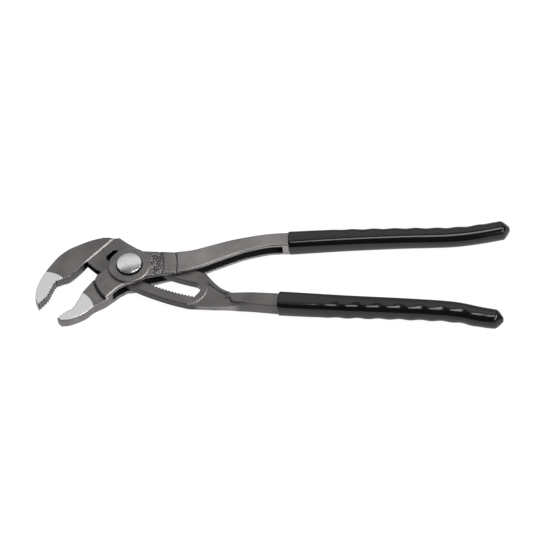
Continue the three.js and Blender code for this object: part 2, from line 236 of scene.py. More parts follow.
# The lip of a grip: ring number, width and round of each section, and how its outer edge is rounded
LIP = [(2, 7.2, 1), (2, 9, 2.4), (0, 9, 2.4), (0, 9.9, 2.8)]
LIP_ROUND = 0.3
LIP_END = (0.5, 0.7)

# Button, and its peg, stem and skirt as distances out from the axis and heights
BUTTON_RADIUS = 6.5
BUTTON_RIM = 12.4
BUTTON_DOME = 0.75
BUTTON_SIDES = 96
BUTTON_PROFILE = [
    (0.9, 6.1), (0.9, 8), (1.5, 8), (1.5, 11.9), (5, 11.9), (5, 11.1), (6.3, 11.1), (6.5, 11.3), (6.5, 12.2),
]
DOME_SHARES = (0.985, 0.03)
DOME_RINGS = 26

# Return spring under the button
SPRING_WIRE = 0.5
SPRING_TURNS = 4
WIRE_SIDES = 12
TURN_STEPS = 40

# Painted light and shade on the forgings along x, over their faces and on their walls, and where painted
# shade blackens the throat
OUTER_FACE_SHADING = [(20, 0.98), (30, 1.34)]
OUTER_WALL_SHADING = [(24, 1.15), (34, 1.3)]
INNER_FACE_SHADING = [(-22, 0.94), (-14, 0.8)]
INNER_WALL_SHADING = [(-36, 1.1), (-24, 0.7), (0, 0.5), (35, 0.5), (39, 1.9), (54, 1.9), (60, 0.8)]
INNER_THROAT_SHADE = [(-26.5, 0), (-24, 1), (-7, 1), (-4, 0)]


# Lines and outlines

def smooth(points, steps):
    """A smooth line through a few points."""
    padded = np.array([points[0], *points, points[-1]], float)
    line = []
    for place in np.linspace(0, len(points) - 1, steps + 1):
        i = min(int(place), len(points) - 2)
        a, b, c, d = padded[i:i + 4]
        t = place - i
        bend = (2 * a - 5 * b + 4 * c - d) * t ** 2 + (3 * b - a - 3 * c + d) * t ** 3
        line.append(b + (c - a) * t / 2 + bend / 2)
    return np.array(line)


def spaced(line, count):
    """Points at even distances along a line."""
    run = np.r_[0, np.cumsum(np.hypot(*np.diff(line, axis=0).T))]
    places = np.linspace(0, run[-1], count)
    return np.c_[np.interp(places, run, line[:, 0]), np.interp(places, run, line[:, 1])]


def to_the_left(line):
    """Unit directions to the left of a line at each of its points."""
    slope = np.gradient(line, axis=0)
    slope /= np.hypot(*slope.T)[:, None]
    return np.c_[-slope[:, 1], slope[:, 0]]


def serrated(points, teeth):
    """A row of jaw teeth along a smooth line, cut into what lies to its left."""
    pitch, depth = teeth
    line = smooth(points, 200)
    length = np.hypot(*np.diff(line, axis=0).T).sum()
    row = spaced(line, 2 * max(1, round(length / pitch)) + 1)
    row[1::2] += depth * to_the_left(row)[1::2]
    return row


def on_arc(places):
    """Points at distances along the adjusting arc from the pivot, and out from it."""
    along, out = np.array(places, float).T
    turn = ARC_START + along / ARC_RADIUS
    reach = ARC_RADIUS + out
    return np.c_[ARC_CENTRE[0] + reach * np.cos(turn), ARC_CENTRE[1] + reach * np.sin(turn)]


def rack_row(tip, root):
    """Teeth along the arc: roots at whole pitches, tips between them."""
    halves = np.arange(2 * RACK_TEETH[0] - 1, 2 * RACK_TEETH[1] + 1)
    return on_arc(np.c_[halves * RACK_PITCH / 2 * ARC_RADIUS, np.where(halves % 2, tip, root)])


def corner(along, out, radius, start, end):
    """Points round a corner on the arc, from one direction to another in degrees."""
    turn = np.radians(np.linspace(start, end, 12))
    return on_arc(np.c_[along + radius * np.cos(turn), out + radius * np.sin(turn)])


def slot_outline(outer_wall):
    """The arc slot: an outer wall, a round end, a plain inner wall and a square end with round corners."""
    half = (SLOT_INNER + SLOT_OUTER) / 2
    right = corner(SLOT_AFTER - half, SLOT_OUTER - half, half, 20, -90)
    along = np.linspace(SLOT_AFTER - half, SLOT_CORNER - SLOT_BEFORE, 24)[1:-1]
    inner = on_arc(np.c_[along, np.full(len(along), -SLOT_INNER)])
    square = np.r_[
        corner(SLOT_CORNER - SLOT_BEFORE, SLOT_CORNER - SLOT_INNER, SLOT_CORNER, -90, -180),
        corner(SLOT_CORNER - SLOT_BEFORE, SLOT_TOE - SLOT_CORNER, SLOT_CORNER, 180, 90),
    ]
    return np.r_[outer_wall, right, inner, square]


# Solids as fields: negative inside, and about the distance to the surface outside

class Block:
    """Sample points in a box, closer together where a piece has finer detail."""

    def __init__(self, x, y, z):
        self.axes = [self.stretches(*axis) for axis in (x, y, z)]
        self.x = self.axes[0][:, None, None]
        self.y = self.axes[1][None, :, None]
        self.z = self.axes[2][None, None, :]

    @staticmethod
    def stretches(start, *parts):
        places = [np.array([start], np.float32)]
        for end, step in parts:
            count = max(1, round((end - start) / step))
            places.append(np.linspace(start, end, count + 1, dtype=np.float32)[1:])
            start = end
        return np.concatenate(places)

    def beside(self, line):
        """Distance to an open line."""
        nearest = np.full((len(self.axes[0]), len(self.axes[1]), 1), 1e6, np.float32)
        for (ax, ay), (bx, by) in zip(line[:-1].tolist(), line[1:].tolist()):
            ex, ey = bx - ax, by - ay
            share = ((self.x - ax) * ex + (self.y - ay) * ey) / max(ex * ex + ey * ey, 1e-9)
            share = np.clip(share, 0, 1)
            away = (self.x - ax - share * ex) ** 2 + (self.y - ay - share * ey) ** 2
            nearest = np.minimum(nearest, away)
        return np.sqrt(nearest)

    def inside(self, outline):
        """Distance to a closed outline, negative inside it."""
        outline = np.array(outline, float)
        closed = np.r_[outline, outline[:1]]
        within = np.zeros((len(self.axes[0]), len(self.axes[1]), 1), bool)
        for (ax, ay), (bx, by) in zip(closed[:-1].tolist(), closed[1:].tolist()):
            if ay == by:
                continue
            level = (self.y < ay) != (self.y < by)
            within ^= level & (self.x < ax + (self.y - ay) * (bx - ax) / (by - ay))
        return np.where(within, -1, 1) * self.beside(closed)

    def wall(self, outline):
        """Distance to a forged wall, which leans in from the middle plane to both faces."""
        return self.inside(outline) + DRAFT * np.abs(self.z - MIDDLE) - SWELL

    def around(self, centre, radius):
        """Distance to a circle, negative inside it."""
        return np.hypot(self.x - centre[0], self.y - centre[1]) - radius


def rounded(a, b, radius):
    """What lies in both, with the edge between them rounded."""
    corner = np.hypot(np.maximum(a + radius, 0), np.maximum(b + radius, 0))
    return np.minimum(np.maximum(a, b), -radius) + corner


def bevelled(a, b, size):
    """What lies in both, with the edge between them cut off at a slant."""
    return np.maximum(np.maximum(a, b), (a + b + size) * math.sqrt(0.5))


def joined(a, b, radius):
    """What lies in either, with a fillet where they meet."""
    corner = np.hypot(np.maximum(radius - a, 0), np.maximum(radius - b, 0))
    return np.maximum(np.minimum(a, b), radius) - corner


def cut(a, b, radius=CUT_EDGE):
    """The first without the second, with the new edges rounded."""
    return rounded(a, -b, radius)


def ramp(distance, width):
    """1 inside a boundary and 0 outside it, with a smooth slope of the given width."""
    share = np.clip(0.5 - distance / width, 0, 1)
    return share * share * (3 - 2 * share)


def towards(block, degrees, span):
    """1 in a fan about the pivot, fading to 0 at its sides."""
    turn = math.radians(degrees)
    reach = np.maximum(np.hypot(block.x, block.y), 1e-3)
    facing = (block.x * math.cos(turn) + block.y * math.sin(turn)) / reach
    return ramp(math.cos(math.radians(span)) - facing, FAN_FADE)


def skin(block, field):
    """The surface where a field is zero, as points and four-sided faces."""
    solid = field < 0
    shape = np.array(field.shape) - 1
    corners = list(product((0, 1), repeat=3))
    count = np.zeros(shape, np.int8)
    for i, j, k in corners:
        count += solid[i:i + shape[0], j:j + shape[1], k:k + shape[2]]
    cells = np.argwhere((count > 0) & (count < 8))
    number = np.full(shape, -1)
    number[tuple(cells.T)] = np.arange(len(cells))

    total = np.zeros((len(cells), 3))
    crossings = np.zeros((len(cells), 1))
    for start, axis in product(corners, range(3)):
        if start[axis]:
            continue
        near = cells + start
        far = near.copy()
        far[:, axis] += 1
        a, b = field[tuple(near.T)], field[tuple(far.T)]
        crossed = (a < 0) != (b < 0)
        share = np.where(crossed, a / np.where(crossed, a - b, 1), 0)
        place = np.stack([block.axes[n][near[:, n]] for n in range(3)], 1).astype(float)
        place[:, axis] += share * (block.axes[axis][far[:, axis]] - place[:, axis])
        total += place * crossed[:, None]
        crossings[:, 0] += crossed

    faces = []
    for axis in range(3):
        u, v = (axis + 1) % 3, (axis + 2) % 3
        here = [slice(1, n - 1) for n in field.shape]
        there = list(here)
        here[axis] = slice(0, shape[axis])
        there[axis] = slice(1, shape[axis] + 1)
        a, b = solid[tuple(here)], solid[tuple(there)]
        edges = np.argwhere(a != b)
        edges[:, [u, v]] += 1
        around = []
        for du, dv in ((-1, -1), (0, -1), (0, 0), (-1, 0)):
            cell = edges.copy()
            cell[:, u] += du
            cell[:, v] += dv
            around.append(number[tuple(cell.T)])
        quads = np.stack(around, 1)
        leaving = a[a != b]
        quads[~leaving] = quads[~leaving][:, ::-1]
        faces.append(quads)
    return total / crossings, np.concatenate(faces)


# Pieces

def make(name, points, faces, material, body, slot, node):
    """A new mesh piece, in metres, that rides on a body and stands for a node."""
    mesh = bpy.data.meshes.new(name)
    mesh.from_pydata((np.array(points) * MM).tolist(), [], [list(face) for face in faces])
    mesh.shade_smooth()
    mesh.materials.append(material)
    piece = bpy.data.objects.new(name, mesh)
    bpy.context.collection.objects.link(piece)
    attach(piece, body)
    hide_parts(node)
    return piece


def tang(block, line, rise):
    """The square bar inside a grip, in which its handle goes on."""
    lead = [(line[0][0] - TANG_LEAD, line[0][1]), *line[:-1]]
    return rounded(block.beside(smooth(lead, 24)) - TANG_HALF, rise - TANG_HALF, TANG_ROUND)


def stipple(block):
    """Small raised grains scattered over the panel beside the boss."""
    chance = np.random.default_rng(GRAIN_SEED)
    height = np.zeros((len(block.axes[0]), len(block.axes[1]), 1), np.float32)
    for _ in range(GRAINS):
        x = chance.uniform(PANEL_START - GRAIN_LEAD, PANEL_REACH)
        y = chance.uniform(*GRAIN_PLACES)
        size = chance.uniform(*GRAIN_SIZES)
        grain = chance.uniform(*GRAIN_RISES) * ramp(block.around((x, y), size), GRAIN_FADE)
        height = np.maximum(height, grain)
    return height


def outer_arm_field(block):
    """The lower jaw, the box joint with its boss and the channelled handle, as one forging."""
    up = block.z - MIDDLE
    rise = np.abs(up)
    reach = np.hypot(block.x, block.y)

    # Box joint: two cheeks that fall away from the boss, and a stippled panel between two arcs
    panel = np.maximum(PANEL_START - block.x - PANEL_SLANT * block.y, reach - PANEL_REACH)
    panel = np.maximum(panel, block.y - PANEL_TOP)
    shoulder = towards(block, SHOULDER_TOWARDS, SHOULDER_SPAN) * ramp(reach - SHOULDER_REACH, SHOULDER_FADE)
    cheek = CHEEK_HALF - CHEEK_FALL * np.maximum(reach - PANEL_REACH + CHEEK_LEAD, 0)
    cheek = cheek + (BOSS_HALF - CHEEK_HALF) * shoulder
    front = cheek - ramp(panel, PANEL_EDGE) * (PANEL_DEPTH - stipple(block))
    faces = np.maximum(up - front, -up - cheek)
    rear_end, rear_end_fade = REAR_END
    rear = ramp(up, REAR_FADE) * ramp(rear_end - block.x, rear_end_fade)
    box_wall = block.wall(BOX) + REAR_INSET * rear
    box = bevelled(box_wall, faces, CHEEK_BEVEL)

    # Boss ring with a groove round its lower left, and the arcs beside the panel and before the handle
    ring = bevelled(reach - BOSS_RADIUS, rise - BOSS_HALF, RING_BEVEL)
    groove = np.hypot(reach - BOSS_RADIUS - GROOVE_ROUND, rise - CHEEK_HALF) - GROOVE_ROUND
    groove = groove + 1 - towards(block, GROOVE_TOWARDS, GROOVE_SPAN)
    beside = np.minimum(
        np.hypot(reach - PANEL_REACH, up - cheek) - PANEL_GROOVE,
        np.hypot(reach - HANDLE_REACH, up - cheek) - HANDLE_GROOVE,
    )
    beside = np.maximum(beside, PANEL_START - block.x)
    body = cut(cut(joined(box, ring, FILLET), groove, GROOVE_EDGE), beside, GROOVE_EDGE)

    # Handle, tang and lower jaw
    handle_line = np.r_[smooth(HANDLE_TOP, 40), smooth(HANDLE_BOTTOM, 40)[::-1]]
    handle = bevelled(block.wall(handle_line), rise - HANDLE_HALF, HANDLE_BEVEL)
    handle = np.maximum(handle, HANDLE_REACH - reach)
    jaw_line = np.r_[
        smooth(LOWER_NECK, 12), serrated(LOWER_PIPE_TEETH, PIPE_TEETH), serrated(LOWER_TIP_TEETH, TIP_TEETH),
        smooth(LOWER_BACK, 32),
    ]
    jaw_face = JAW_HALF - GROUND_DEPTH * ramp(block.around(*LOWER_GROUND), GROUND_STEP)
    jaw_wall = block.wall(jaw_line)
    jaw = bevelled(jaw_wall, rise - jaw_face, JAW_BEVEL)
    inside_by, inside_fade = NECK_SHALLOW
    below, below_fade = NECK_SHALLOW_BELOW
    shallow = ramp(-inside_by - jaw_wall, inside_fade) * ramp(block.y - below, below_fade)
    neck_groove = np.hypot(box_wall - NECK_GROOVE, rise - jaw_face) - NECK_GROOVE * (1 - shallow)
    jaw = cut(jaw, neck_groove, GROOVE_EDGE)
    forging = joined(np.minimum(body, handle), jaw, FILLET)
    forging = joined(forging, tang(block, UPPER_GRIP, rise), TANG_FILLET)

    # The way for the inner arm, open at the top of the box and running on as the handle's channel
    (ux, uy), (lx, ly) = BRIDGE
    top = smooth(HANDLE_TOP, 40)
    web = top[(top[:, 0] > CHANNEL[0]) & (top[:, 0] < CHANNEL[1])] - (0, CHANNEL_WEB)
    way = np.r_[
        [(2 * ux - lx, 2 * uy - ly), (ux, uy), (lx, ly), (2 * lx - ux, 2 * ly - uy), (CHANNEL[1], -FAR)],
        [(CHANNEL[1], web[-1, 1])], web[::-1],
        [(CHANNEL[0], web[0, 1]), (CHANNEL[0], FAR), (2 * ux - lx, FAR)],
    ]
    least_round, more_round = PASSAGE_ROUND
    change, change_fade = PASSAGE_CHANGE
    round_end = least_round + more_round * ramp(block.x - change, change_fade)
    forging = cut(forging, rounded(block.inside(way), rise - PASSAGE_HALF, round_end))

    # Bores for the button and the pivot
    button_bore = np.maximum(reach - BORE_RADIUS, BORE_FLOOR - up)
    neck_bore = np.maximum(reach - NECK_HOLE, -up)
    flange_bore = np.maximum(reach - BORE_RADIUS, block.z - FLANGE_TOP)
    journal_bore = np.maximum(reach - JOURNAL_HOLE, up)
    bores = np.minimum(np.minimum(button_bore, neck_bore), np.minimum(flange_bore, journal_bore))
    return cut(forging, bores, BORE_EDGE)


def inner_arm_field(block):
    """The upper jaw, the thin arm with its slot and rack, and the lower handle, as one forging."""
    up = block.z - MIDDLE
    rise = np.abs(up)

    # Upper jaw, which stands proud of the thin arm along a step with a broad bevel
    step = on_arc(HEAD_STEP)
    head_line = np.r_[
        step[:1], smooth(UPPER_BACK, 48), serrated(UPPER_TIP_TEETH, TIP_TEETH),
        serrated(UPPER_PIPE_TEETH, PIPE_TEETH), step[1:],
    ]
    head_face = JAW_HALF - GROUND_DEPTH * ramp(block.around(*UPPER_GROUND), GROUND_STEP)
    by_step = ramp(block.beside(step) - HEAD_STEP_NEAR, HEAD_STEP_FADE)
    bevel = JAW_BEVEL + (STEP_BEVEL - JAW_BEVEL) * by_step
    head = bevelled(block.wall(head_line), rise - head_face, bevel)

    # Thin arm with a recessed web behind the slot
    arm_line = np.r_[
        on_arc(ARM_ROOT), smooth(on_arc(ARM_FRONT), 40), HEEL_BOTTOM[::-1],
        smooth([on_arc(ARM_BACK)[-1], *HEEL_TOP], 20)[::-1], smooth(on_arc(ARM_BACK), 40)[::-1][1:],
    ]
    panel = np.maximum(block.inside(WEB_PANEL), -block.around(*WEB_PAD))
    behind = block.x - PAD_NOSE + PAD_SLANT * np.maximum(PAD_LOW - block.y, 0)
    panel = np.maximum(panel, np.minimum(behind, -PAD_FRONT * up))
    recess = WEB_DEPTH * ramp(panel, PANEL_EDGE)
    arm_wall = block.wall(arm_line)
    arm = bevelled(arm_wall, rise - ARM_HALF, ARM_BEVEL)
    arm = cut(arm, np.maximum(rise, -arm_wall) - PARTING_GROOVE, PARTING_EDGE)

    # Lower handle and tang
    places = [x for x, y in INNER_HANDLE]
    width = np.interp(block.x, places, INNER_HANDLE_WIDTH)
    half = np.interp(block.x, places, INNER_HANDLE_HALF)
    side = block.beside(smooth(INNER_HANDLE, 30)) - width / 2 + DRAFT * rise - SWELL
    side = np.maximum(side, block.x - INNER_HANDLE[-1][0])
    handle = bevelled(side, rise - half, HANDLE_BEVEL)
    forging = joined(joined(head, arm, FILLET), handle, HEEL_FILLET)
    from_x, above_y, slope, fade = WEB_RISE
    shelf = ARM_HALF - recess + slope * np.maximum(block.x - from_x, 0) * ramp(above_y - block.y, fade)
    shelf = shelf + PAD_TAPER * np.maximum(block.x - PAD_NOSE, 0)
    forging = cut(forging, np.maximum(panel, shelf - rise), WEB_CUT_EDGE)
    forging = joined(forging, tang(block, LOWER_GRIP, rise), TANG_FILLET)

    # Slot with its rack and the web behind its square end, and the round relief in the throat
    root = SLOT_OUTER + RACK_DEPTH
    teeth = slot_outline(rack_row(SLOT_OUTER, root))
    plain = slot_outline(rack_row(root + RACK_RELIEF, root + RACK_RELIEF))
    slot = np.minimum(np.maximum(block.inside(teeth), -up), np.maximum(block.inside(plain), up - RACK_FLOOR))
    web_reach, web_back = SLOT_WEB
    end = on_arc([(-SLOT_BEFORE, 0)])[0]
    slot = np.maximum(slot, -np.maximum(block.around(end, web_reach), up + web_back))
    slot = np.minimum(slot, block.around(*THROAT_RELIEF))
    return cut(forging, slot)


def section(width, thickness, round_by, tilt):
    """Half of a grip's section, from its front round one side to its back.

    The faces are crowned and tilt by so many degrees where the round corners begin. The sides lean a little.
    """
    tilt, lean = math.radians(tilt), math.radians(GRIP_LEAN)
    hub = width / 2 - round_by
    crown = hub * math.tan(tilt) / 2
    top = thickness / 2 - crown
    barrel = (top - round_by + round_by * math.sin(lean)) / math.sin(lean)
    middle = width / 2 - barrel
    hub = middle + (barrel - round_by) * math.cos(lean)
    share = np.linspace(0, 1, 6)[:-1]
    face = np.c_[hub * share, top + crown * (1 - share ** 2)]
    turn = np.linspace(math.pi / 2 - tilt, lean, 12)
    round_corner = np.c_[hub + round_by * np.cos(turn), top - round_by + round_by * np.sin(turn)]
    turn = np.linspace(lean, -lean, 11)[1:-1]
    side = np.c_[middle + barrel * np.cos(turn), barrel * np.sin(turn)]
    quarter = np.r_[face, round_corner]
    return np.r_[quarter, side, quarter[::-1] * (1, -1)]


def ring(centre, left, half, inset):
    """A grip's whole section set across its line: from its front down one side and up the other."""
    whole = np.r_[half * (-1, 1), half[-2:0:-1]]
    whole = inset(whole)
    return np.c_[np.array(centre) + whole[:, :1] * np.array(left), MIDDLE + whole[:, 1]]


def tube(rings):
    """A closed skin over a row of rings, with a point in the middle of each end."""
    sides = len(rings[0])
    points = np.concatenate([*rings, [rings[0].mean(0), rings[-1].mean(0)]])
    faces = []
    for i, k in product(range(len(rings) - 1), range(sides)):
        after = (k + 1) % sides
        faces.append((i * sides + k, i * sides + after, (i + 1) * sides + after, (i + 1) * sides + k))
    last = (len(rings) - 1) * sides
    for k in range(sides):
        after = (k + 1) % sides
        faces.append((len(points) - 2, after, k))
        faces.append((len(points) - 1, last + k, last + after))
    return points, faces


def grip_skin(line, widths, outer_side, fingers, roll):
    """A dipped grip: hollow for its tang, with a lip, finger waves outside and a tapered tail."""
    path = spaced(smooth(line, 200), GRIP_RINGS)
    left = to_the_left(path)
    run = np.linspace(0, np.hypot(*np.diff(path, axis=0).T).sum(), GRIP_RINGS)
    fingers_from, fingers_fade = FINGERS_FROM
    fingers_to, fingers_end_fade = FINGERS_TO
    side_from, side_fade = FINGER_SIDE
    roll_from, roll_fade = ROLL_FROM
    lip_end, lip_fade = LIP_END
    places = [x for x, y in line]
    rings = []

    def plain(whole):
        return whole

    # The hollow, from its blind end to the lip
    blind = np.searchsorted(path[:, 0], places[-2])
    bore = 2 * (TANG_HALF + SEAT_GAP)
    for i in range(blind, 1, -HOLLOW_STEP):
        rings.append(ring(path[i], left[i], section(bore, bore, HOLLOW_ROUND, HOLLOW_TILT), plain))
    for i, width, round_by in LIP:
        rings.append(ring(path[i], left[i], section(width, width, round_by, HOLLOW_TILT), plain))

    # The outside, from the lip to the tail
    for i in range(1, GRIP_RINGS):
        to_tail = run[-1] - run[i]
        late = max(0.0, 1 - to_tail / TAIL_LENGTH)
        slimmer = 2 * TAIL_TAPER * late ** TAIL_POWER + LIP_ROUND * ramp(run[i] - lip_end, lip_fade)
        width = np.interp(path[i, 0], places, widths) - slimmer
        stage = run[i] / run[-1]
        thickness = np.interp(stage, GRIP_STAGES, GRIP_THICKNESS) - slimmer
        round_by = min(np.interp(stage, GRIP_STAGES, GRIP_ROUND), GRIP_ROUND_LIMIT * min(width, thickness))
        waves = ramp(fingers_from - run[i], fingers_fade) * ramp(fingers_to - to_tail, fingers_end_fade)
        depth = fingers * waves * (1 + math.cos(2 * math.pi * path[i, 0] / FINGER_PITCH)) / 2

        def inset(whole):
            outer = ramp(side_from - whole[:, 0] * outer_side, side_fade)
            inwards = np.c_[np.full(len(whole), outer_side), np.sign(whole[:, 1])]
            whole = whole - depth * outer[:, None] * inwards
            turn = math.radians(roll) * ramp(roll_from - run[i], roll_fade)
            return whole @ np.array([(math.cos(turn), -math.sin(turn)), (math.sin(turn), math.cos(turn))])

        rings.append(ring(path[i], left[i], section(width, thickness, round_by, GRIP_TILT), inset))
    return tube(rings)


def button_skin():
    """The domed button, turned: peg, stem, skirt, a small round at the rim, and the dome."""
    dome_radius = (BUTTON_RADIUS ** 2 + BUTTON_DOME ** 2) / (2 * BUTTON_DOME)
    profile = list(BUTTON_PROFILE)
    for share in np.linspace(*DOME_SHARES, DOME_RINGS):
        out = share * BUTTON_RADIUS
        profile.append((out, BUTTON_RIM + math.sqrt(dome_radius ** 2 - out ** 2) - dome_radius + BUTTON_DOME))
    turn = np.linspace(0, 2 * math.pi, BUTTON_SIDES, endpoint=False)
    rings = []
    for out, height in profile:
        rings.append(np.c_[out * np.cos(turn), out * np.sin(turn), np.full(len(turn), height)])
    return tube(rings)


def spring_skin(low, high):
    """One unbroken coil of round wire that fills a box."""
    radius = (high[0] - low[0] - SPRING_WIRE) / 2
    rise = high[2] - low[2] - SPRING_WIRE
    around = np.linspace(0, 2 * math.pi, WIRE_SIDES, endpoint=False)
    rings = []
    for share in np.linspace(0, 1, TURN_STEPS * SPRING_TURNS + 1):
        turn = 2 * math.pi * SPRING_TURNS * share
        out = radius + SPRING_WIRE / 2 * np.cos(around)
        height = low[2] + SPRING_WIRE / 2 + rise * share - SPRING_WIRE / 2 * np.sin(around)
        rings.append(np.c_[out * math.cos(turn), out * math.sin(turn), height])
    return tube(rings)


# Shader maths

class Value:
    """An output of a node. Arithmetic on it adds Math nodes, and node() adds any other node."""

    def __init__(self, tree, output=None):
        self.tree = tree
        self.output = output

    def node(self, kind, settings=None, sockets=None, out=0):
        made = self.tree.nodes.new(kind)
        for name, setting in (settings or {}).items():
            setattr(made, name, setting)
        for name, value in (sockets or {}).items():
            if isinstance(value, Value):
                self.tree.links.new(value.output, made.inputs[name])
            else:
                made.inputs[name].default_value = value
        return Value(self.tree, made.outputs[out])

    def maths(self, operation, a, b=0.0):
        return self.node("ShaderNodeMath", {"operation": operation}, {0: a, 1: b})

    def __add__(self, other):
        return self.maths("ADD", self, other)

    def __radd__(self, other):
        return self.maths("ADD", other, self)

    def __sub__(self, other):
        return self.maths("SUBTRACT", self, other)

    def __rsub__(self, other):
        return self.maths("SUBTRACT", other, self)

    def __mul__(self, other):
        return self.maths("MULTIPLY", self, other)

    def __rmul__(self, other):
        return self.maths("MULTIPLY", other, self)

    def __truediv__(self, other):
        return self.maths("DIVIDE", self, other)

    def __pow__(self, other):
        return self.maths("POWER", self, other)

    def size(self):
        return self.maths("ABSOLUTE", self)

    def slope(self, low, high, start=0.0, end=1.0):
        """A smooth change from start to end as the value goes from low to high."""
        places = {0: self, 1: low, 2: high, 3: start, 4: end}
        return self.node("ShaderNodeMapRange", {"interpolation_type": "SMOOTHSTEP"}, places)

    def noise(self, scale, detail=2.0, stretch=None):
        """Noise over a vector, with lumps of about one over the scale, in metres."""
        place = self
        if stretch:
            place = self.node("ShaderNodeVectorMath", {"operation": "MULTIPLY"}, {0: self, 1: stretch})
        return self.node("ShaderNodeTexNoise", {}, {"Vector": place, "Scale": scale, "Detail": detail})

    def blend(self, first, second):
        """The first colour where this is 0, the second where it is 1."""
        return self.node("ShaderNodeMix", {"data_type": "RGBA"}, {0: self, 6: first, 7: second}, out=2)

    def tinted(self, colour):
        """A colour made brighter or darker by this."""
        return self.node("ShaderNodeVectorMath", {"operation": "SCALE"}, {0: colour, "Scale": self})

    def course(self, *stops):
        """A value that goes smoothly from each stop to the next one: where it is, and what it is there."""
        total = stops[0][1]
        for (start, low), (end, high) in zip(stops, stops[1:]):
            total = total + self.slope(start, end, 0.0, high - low)
        return total

    def part(self, out):
        """X, Y or Z of a vector."""
        return self.node("ShaderNodeSeparateXYZ", {}, {0: self}, out=out)

    def bump(self, distance, strength=1.0):
        """A normal raised by this height, times a distance in metres."""
        return self.node("ShaderNodeBump", {}, {"Height": self, "Distance": distance, "Strength": strength})


def finish(name, recipe, **constants):
    """A material whose recipe gives what changes over the surface, and whose other sockets are constant."""
    material = bpy.data.materials.new(name)
    material.use_nodes = True
    tree = material.node_tree
    shader = tree.nodes["Principled BSDF"]
    for socket, value in constants.items():
        shader.inputs[socket.replace("_", " ")].default_value = value
    place = Value(tree).node("ShaderNodeTexCoord", out=3)
    for socket, value in recipe(place).items():
        tree.links.new(value.output, shader.inputs[socket])
    return material


def grey(value, warmth=0.0):
    """A grey, made a little warmer."""
    return (value * (1 + warmth), value, value * (1 - 0.4 * warmth), 1)


def forged_steel(name, ground, face_shading, walls, throat_shade=((0, 0), (1, 0))):
    """Burnished dark forging with a bare ground tip inside a circle.

    Painted light and shade change along x over its faces and its walls, and painted shade blackens the
    throat's walls.
    """
    (centre_x, centre_y), radius = ground

    def recipe(place):
        normal = place.node("ShaderNodeTexCoord", out=1)
        upright = normal.part(2)
        facing = upright.size()
        x, y = place.part(0) / MM, place.part(1) / MM
        from_centre = ((x - centre_x) ** 2 + (y - centre_y) ** 2) ** 0.5
        near_pivot = ((x ** 2 + y ** 2) ** 0.5).slope(18.5, 17)
        tip = from_centre.slope(radius + 0.15, radius - 0.15)
        bare = tip * facing.slope(0.8, 0.92)
        grain = place.noise(1500, 3)
        patches = place.noise(90, 3)
        scratches = place.noise(260, 2, (1, 9, 1))
        local = {"samples": 8, "only_local": True}
        # Occlusion over a wide and a close distance, used below to paint shade into recesses and to keep the
        # lightened edges out of them
        wide_occlusion = place.node("ShaderNodeAmbientOcclusion", local, {"Distance": 9 * MM}, out=1)
        close_occlusion = place.node("ShaderNodeAmbientOcclusion", local, {"Distance": 0.9 * MM}, out=1)
        # Bevels are lightened: partly rubbed bare edges, partly a painted edge highlight; not in recesses, on
        # the ground tip or on the throat's painted-shade walls
        wear_and_highlight = upright.slope(0.35, 0.6) * upright.slope(0.95, 0.85) * close_occlusion.slope(0.75, 0.95) * (1 - tip)
        # Painted shade: steep walls facing the front are painted near-black along the throat, and lose their
        # metal there
        steep = near_pivot * facing.slope(0.97, 0.8) + (1 - near_pivot) * facing.slope(0.62, 0.4)
        black = x.course(*throat_shade) * normal.part(1).slope(0.35, 0.1) * steep
        wear_and_highlight = wear_and_highlight * (1 - black)
        # Painted shade and painted light on steep walls along x; the throat's painted shade darkens them
        # nearly to black
        wall_shade = (facing.slope(0.5, 0.2) * (x.course(*walls) - 1) + 1) * (1 - 0.97 * black)
        # Painted shade from close and wide occlusion in recesses, times the walls' painted shade and the
        # faces' painted light and shade along x
        shade = wide_occlusion.slope(0.4, 0.95, 0.4, 1.0) * close_occlusion.slope(0.5, 0.97, 0.15, 1.0) * wall_shade * x.course(*face_shading)
        dark = (0.5 * grain + 0.5 * patches).slope(0.3, 0.7).blend(grey(0.125, 0.05), grey(0.205, 0.05))
        steel = (0.42 * wear_and_highlight).blend(shade.tinted(dark), grey(0.45, 0.03))
        # Painted shade: deep recesses are painted near-black and less metallic
        recess_shade = wide_occlusion.slope(0.55, 0.3)
        bright = scratches.slope(0.3, 0.7).blend(grey(0.59, 0.01), grey(0.65, 0.01))
        rough = 0.40 + 0.14 * grain - 0.12 * wear_and_highlight
        height = 0.7 * grain + 0.3 * place.noise(500, 2)
        return {
            "Base Color": bare.blend((recess_shade * (1 - black)).blend(steel, grey(0.045)), bright),
            "Roughness": rough * (1 - bare) + (0.3 + 0.12 * scratches) * bare,
            "Metallic": (1 - black) * (1 - 0.8 * recess_shade),
            "Normal": (height * (1 - 0.8 * bare)).bump(0.00006),
        }

    return finish(name, recipe, Specular_IOR_Level=0.0)


def satin_steel(name, tone):
    """Turned and tumbled bright steel, a little uneven."""
    def recipe(place):
        clouds = place.noise(220, 3)
        grain = place.noise(2600, 2)
        return {
            "Base Color": clouds.slope(0.3, 0.7).blend(grey(tone * 0.86, 0.005), grey(tone, 0.005)),
            "Roughness": 0.17 + 0.1 * clouds,
            "Normal": (0.3 * clouds + 0.03 * grain).bump(0.0001),
        }

    return finish(name, recipe, Metallic=1.0)


def hardened_steel(name):
    """Blued spring steel."""
    def recipe(place):
        clouds = place.noise(500, 3)
        return {
            "Base Color": clouds.slope(0.3, 0.7).blend((0.1, 0.105, 0.12, 1), (0.2, 0.2, 0.21, 1)),
            "Roughness": 0.3 + 0.15 * clouds,
        }

    return finish(name, recipe, Metallic=1.0)


